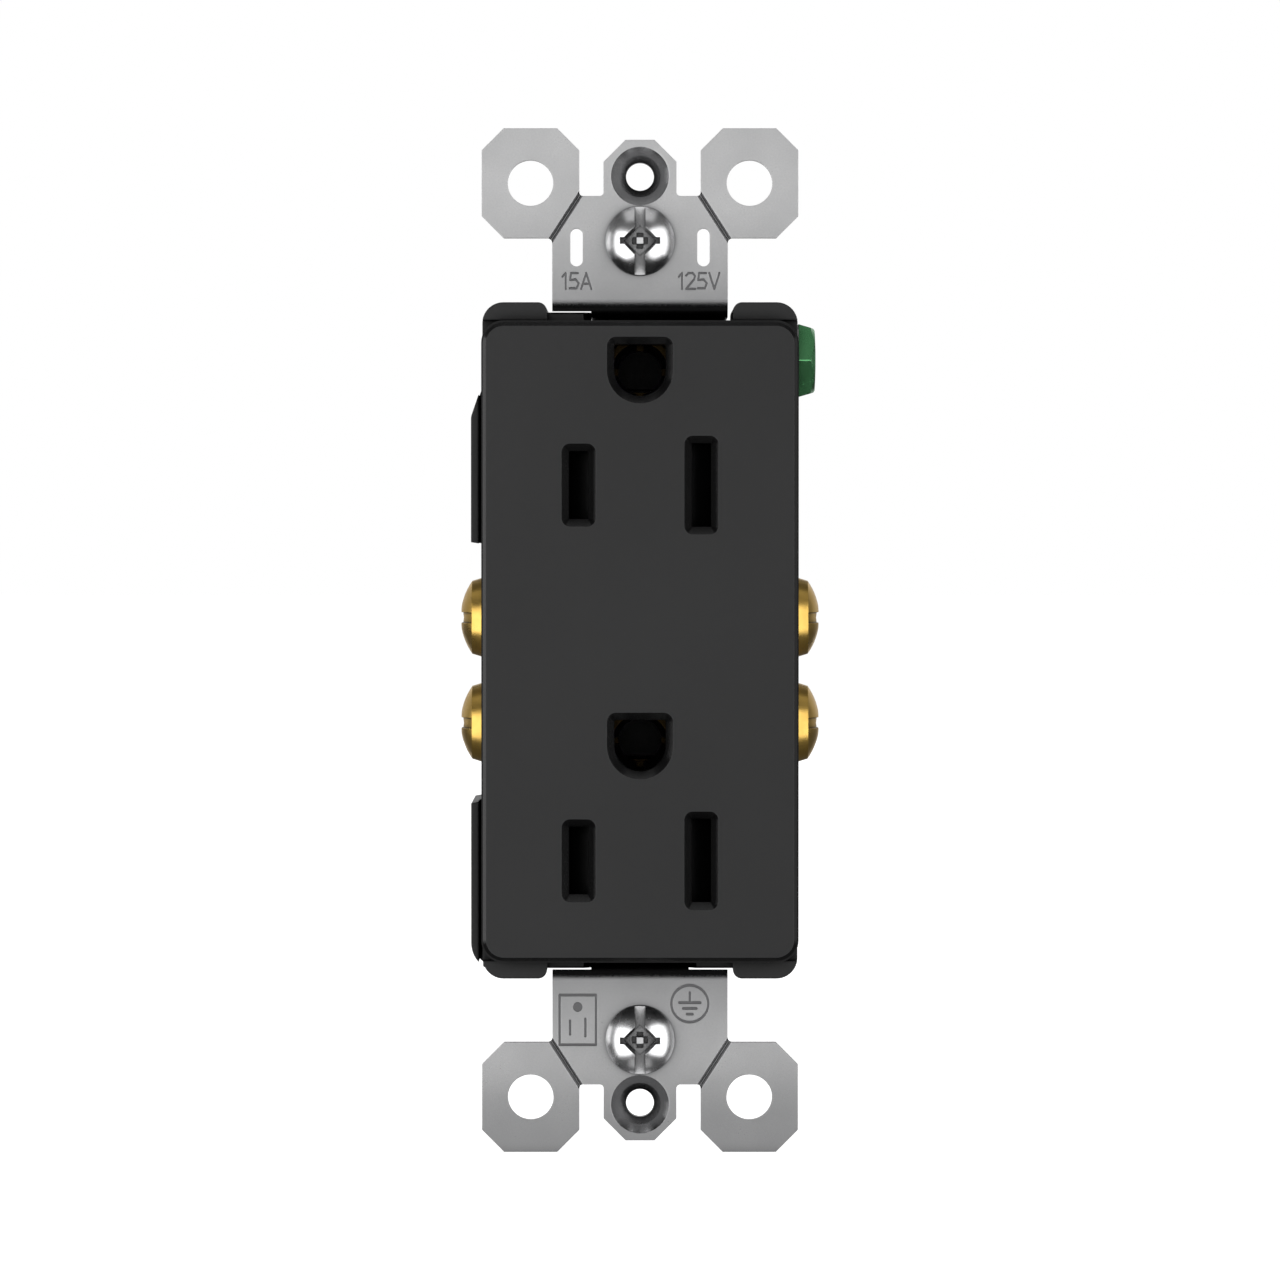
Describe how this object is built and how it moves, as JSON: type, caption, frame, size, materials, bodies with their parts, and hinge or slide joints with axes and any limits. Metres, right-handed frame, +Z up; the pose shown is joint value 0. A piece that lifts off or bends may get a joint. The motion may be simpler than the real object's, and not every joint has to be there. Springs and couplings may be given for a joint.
{
  "type": "duplex wall outlet",
  "caption": "Black decorator-style duplex wall outlet with a galvanised wrap-around mounting strap, side terminal screws and tamper shutters.",
  "frame": {"origin": "centre of the strap's front plane, midway between the four ear holes", "axes": "+X right seen from the front, +Y back into the wall box, +Z up; the face looks along -Y"},
  "size_m": [0.0378, 0.0325, 0.1068],
  "materials": {
    "black_face": "fine matte",
    "black_body": "moulded satin",
    "galvanised_steel": "galvanised, fine grain",
    "brass_strip": "rolled strip",
    "rivet_brass": "pressed",
    "brass_screw": "bright plated",
    "green_screw": "green tinted plating",
    "bright_screw": "bright zinc",
    "fibre": "pressed red fibre",
    "shutter_plastic": "acetal, satin",
    "guide_plastic": "moulded satin",
    "spring_steel": "drawn wire and strip"
  },
  "bodies": {
    "case": {"face_cover": "black_face", "back_body": "black_body", "mounting_strap": "galvanised_steel", "neutral_bus_bar": "brass_strip", "hot_bus_bar": "brass_strip", "ground_contact_upper": "brass_strip", "ground_contact_lower": "brass_strip", "ground_rivets": "rivet_brass", "shutter_spring_upper": "spring_steel", "shutter_guide_upper": "guide_plastic", "push_in_spring_neutral_upper": "spring_steel", "push_in_spring_hot_upper": "spring_steel", "shutter_spring_lower": "spring_steel", "shutter_guide_lower": "guide_plastic", "push_in_spring_neutral_lower": "spring_steel", "push_in_spring_hot_lower": "spring_steel"},
    "shutter_hot_upper": {"shutter_hot_upper": "shutter_plastic"},
    "shutter_neutral_upper": {"shutter_neutral_upper": "shutter_plastic"},
    "screw_retainer_upper": {"screw_retainer_upper": "fibre"},
    "mounting_screw_upper": {"mounting_screw_upper": "bright_screw"},
    "terminal_screw_hot_upper": {"terminal_screw_hot_upper": "brass_screw"},
    "terminal_screw_neutral_upper": {"terminal_screw_neutral_upper": "brass_screw"},
    "shutter_hot_lower": {"shutter_hot_lower": "shutter_plastic"},
    "shutter_neutral_lower": {"shutter_neutral_lower": "shutter_plastic"},
    "screw_retainer_lower": {"screw_retainer_lower": "fibre"},
    "mounting_screw_lower": {"mounting_screw_lower": "bright_screw"},
    "terminal_screw_hot_lower": {"terminal_screw_hot_lower": "brass_screw"},
    "terminal_screw_neutral_lower": {"terminal_screw_neutral_lower": "brass_screw"},
    "ground_screw": {"ground_screw": "green_screw"}
  },
  "joints": [
    {"name": "shutter_hot_upper_slide", "type": "slide", "parent": "case", "child": "shutter_hot_upper", "axis": [1, 0, 0], "range_m": [0, 0.0026], "stiffness_N_per_m": 250, "springref_m": -0.0015, "deforming": ["shutter_spring_upper"]},
    {"name": "shutter_neutral_upper_slide", "type": "slide", "parent": "case", "child": "shutter_neutral_upper", "axis": [1, 0, 0], "range_m": [-0.0026, 0], "stiffness_N_per_m": 250, "springref_m": 0.0015},
    {"name": "screw_retainer_upper_slide", "type": "slide", "parent": "case", "child": "screw_retainer_upper", "axis": [1, 0, 0], "range_m": [-0.0013, 0.0013]},
    {"name": "mounting_screw_upper_turn", "type": "hinge", "parent": "screw_retainer_upper", "child": "mounting_screw_upper", "pos_m": [0, 0, 0.04167], "axis": [0, -1, 0], "continuous": true},
    {"name": "terminal_screw_hot_upper_turn", "type": "hinge", "parent": "case", "child": "terminal_screw_hot_upper", "pos_m": [-0.0159, 0.012, 0.00224], "axis": [-1, 0, 0], "range_deg": [0, 1170]},
    {"name": "terminal_screw_neutral_upper_turn", "type": "hinge", "parent": "case", "child": "terminal_screw_neutral_upper", "pos_m": [0.0159, 0.012, 0.00224], "axis": [1, 0, 0], "range_deg": [0, 1170]},
    {"name": "shutter_hot_lower_slide", "type": "slide", "parent": "case", "child": "shutter_hot_lower", "axis": [1, 0, 0], "range_m": [0, 0.0026], "stiffness_N_per_m": 250, "springref_m": -0.0015, "deforming": ["shutter_spring_lower"]},
    {"name": "shutter_neutral_lower_slide", "type": "slide", "parent": "case", "child": "shutter_neutral_lower", "axis": [1, 0, 0], "range_m": [-0.0026, 0], "stiffness_N_per_m": 250, "springref_m": 0.0015},
    {"name": "screw_retainer_lower_slide", "type": "slide", "parent": "case", "child": "screw_retainer_lower", "axis": [1, 0, 0], "range_m": [-0.0013, 0.0013]},
    {"name": "mounting_screw_lower_turn", "type": "hinge", "parent": "screw_retainer_lower", "child": "mounting_screw_lower", "pos_m": [0, 0, -0.04167], "axis": [0, -1, 0], "continuous": true},
    {"name": "terminal_screw_hot_lower_turn", "type": "hinge", "parent": "case", "child": "terminal_screw_hot_lower", "pos_m": [-0.0159, 0.012, -0.00888], "axis": [-1, 0, 0], "range_deg": [0, 1170]},
    {"name": "terminal_screw_neutral_lower_turn", "type": "hinge", "parent": "case", "child": "terminal_screw_neutral_lower", "pos_m": [0.0159, 0.012, -0.00888], "axis": [1, 0, 0], "range_deg": [0, 1170]},
    {"name": "ground_screw_turn", "type": "hinge", "parent": "case", "child": "ground_screw", "pos_m": [0.0167, 0.0126, 0.0294], "axis": [1, 0, 0], "range_deg": [0, 1170]}
  ],
  "couplings": [
    {"joint": "shutter_neutral_upper_slide", "follows": "shutter_hot_upper_slide", "ratio": -1},
    {"joint": "shutter_neutral_lower_slide", "follows": "shutter_hot_lower_slide", "ratio": -1}
  ]
}
